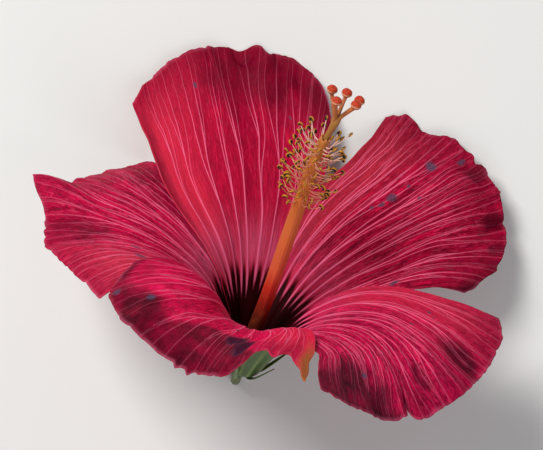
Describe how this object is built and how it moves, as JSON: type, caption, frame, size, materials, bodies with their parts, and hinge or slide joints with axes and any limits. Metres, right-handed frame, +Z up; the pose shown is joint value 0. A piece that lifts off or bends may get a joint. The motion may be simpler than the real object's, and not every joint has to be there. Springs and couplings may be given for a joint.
{
  "type": "hibiscus flower",
  "caption": "Open crimson hibiscus flower picked with a short stalk, lying on its back on two petals, with a long stamen column.",
  "frame": {"origin": "centre of the bounding box on the floor that the flower lies on", "axes": "+Z up from the floor; +X along the flower's width and its longest extent; +Y towards the tip of the top petal"},
  "size_m": [0.1306, 0.1024, 0.0957],
  "materials": {
    "petal": "soft, finely wrinkled, veined petal with a dark throat",
    "column": "smooth, satin, orange above and deep red at the foot",
    "anther": "powdery with pollen",
    "style": "smooth satin",
    "stigma": "velvety",
    "calyx": "matt, finely ribbed and downy",
    "stalk": "matt, faintly ribbed, pale cut end"
  },
  "bodies": {
    "root": {"petal_top": "petal", "petal_left": "petal", "petal_front_left": "petal", "petal_front_right": "petal", "petal_right": "petal", "staminal_column": "column", "anther_01": "anther", "anther_02": "anther", "anther_03": "anther", "anther_04": "anther", "anther_05": "anther", "anther_06": "anther", "anther_07": "anther", "anther_08": "anther", "anther_09": "anther", "anther_10": "anther", "anther_11": "anther", "anther_12": "anther", "anther_13": "anther", "anther_14": "anther", "anther_15": "anther", "anther_16": "anther", "anther_17": "anther", "anther_18": "anther", "anther_19": "anther", "anther_20": "anther", "anther_21": "anther", "anther_22": "anther", "anther_23": "anther", "anther_24": "anther", "anther_25": "anther", "anther_26": "anther", "anther_27": "anther", "anther_28": "anther", "anther_29": "anther", "anther_30": "anther", "anther_31": "anther", "anther_32": "anther", "anther_33": "anther", "anther_34": "anther", "anther_35": "anther", "anther_36": "anther", "pistil": "style", "stigma_1": "stigma", "stigma_2": "stigma", "stigma_3": "stigma", "stigma_4": "stigma", "stigma_5": "stigma", "calyx": "calyx", "bractlet_1": "calyx", "bractlet_2": "calyx", "bractlet_3": "calyx", "bractlet_4": "calyx", "bractlet_5": "calyx", "bractlet_6": "calyx", "bractlet_7": "calyx", "stalk": "stalk"}
  },
  "joints": []
}
